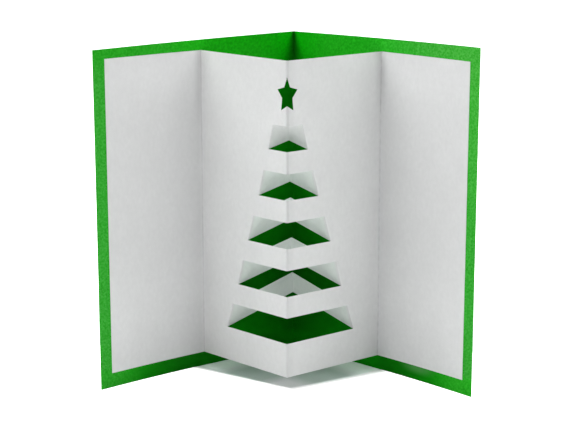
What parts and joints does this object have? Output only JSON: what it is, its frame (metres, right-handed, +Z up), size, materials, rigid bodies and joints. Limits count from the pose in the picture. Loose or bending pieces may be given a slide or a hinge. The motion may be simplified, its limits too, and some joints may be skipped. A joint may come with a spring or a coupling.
{
  "type": "pop-up card",
  "caption": "Folded greeting card standing open, with a white pop-up insert cut and pushed back into a stepped tree under a star, on a green cover.",
  "frame": {"origin": "on the ground under the middle of the standing card", "axes": "+Z up along the folds, +X to the viewer's right across the opened card, +Y to the back, where the cover's fold is"},
  "size_m": [0.2262, 0.0962, 0.212],
  "materials": {
    "green_cover": "matte",
    "white_insert": "matte"
  },
  "bodies": {
    "root": {"green_cover": "green_cover", "white_insert": "white_insert"}
  },
  "joints": []
}
